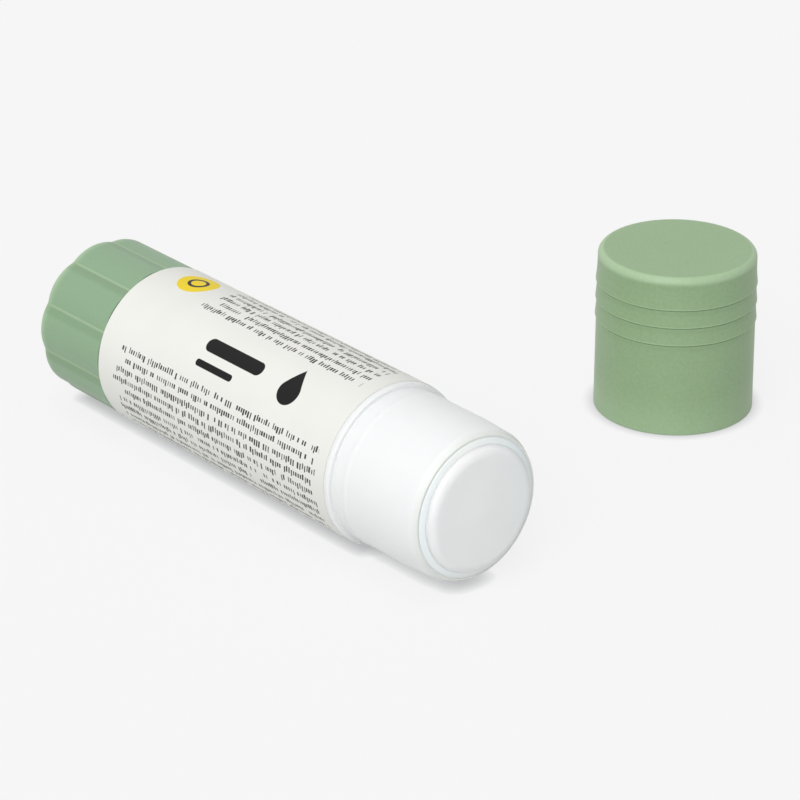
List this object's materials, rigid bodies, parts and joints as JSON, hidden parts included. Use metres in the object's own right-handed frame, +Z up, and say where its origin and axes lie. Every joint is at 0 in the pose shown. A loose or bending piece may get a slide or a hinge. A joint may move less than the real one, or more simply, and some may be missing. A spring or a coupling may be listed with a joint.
{
  "type": "glue stick",
  "caption": "Twist-up glue stick lying on its side with its ringed cap standing beside it: lobed knob, lead screw, carrier and a crowned bar of glue.",
  "frame": {"origin": "on the floor, under the middle of the box that holds the lying stick and the standing cap", "axes": "+X along the stick's axis from the knob to the mouth, +Y towards the cap, +Z up"},
  "size_m": [0.0896, 0.0888, 0.026],
  "materials": {
    "white_plastic": "smooth moulded polypropylene, satin gloss",
    "label_film": "printed film, semi-matt",
    "green_plastic": "moulded polypropylene, satin, slightly translucent",
    "green_cap_plastic": "thin moulded polypropylene, satin, slightly translucent",
    "natural_plastic": "natural moulded polypropylene",
    "carrier_plastic": "natural moulded polyethylene",
    "glue": "firm translucent adhesive, softly glossy"
  },
  "bodies": {
    "barrel": {"barrel": "white_plastic", "label": "label_film"},
    "knob": {"twist_knob": "green_plastic", "lead_screw": "natural_plastic"},
    "carrier": {"carrier": "carrier_plastic", "glue": "glue"},
    "cap": {"cap": "green_cap_plastic"}
  },
  "joints": [
    {"name": "knob_turn", "type": "hinge", "parent": "barrel", "child": "knob", "pos_m": [-0.0448, -0.03193, 0.0125], "axis": [1, 0, 0], "range_deg": [0, 3240]},
    {"name": "carrier_slide", "type": "slide", "parent": "barrel", "child": "carrier", "axis": [1, 0, 0], "range_m": [0, 0.054]},
    {"name": "cap_lift", "type": "slide", "parent": "barrel", "child": "cap", "axis": [0, 0, 1], "range_m": [0, 0.06]}
  ],
  "couplings": [
    {"joint": "carrier_slide", "follows": "knob_turn", "m_per_rad": 0.00095493}
  ]
}
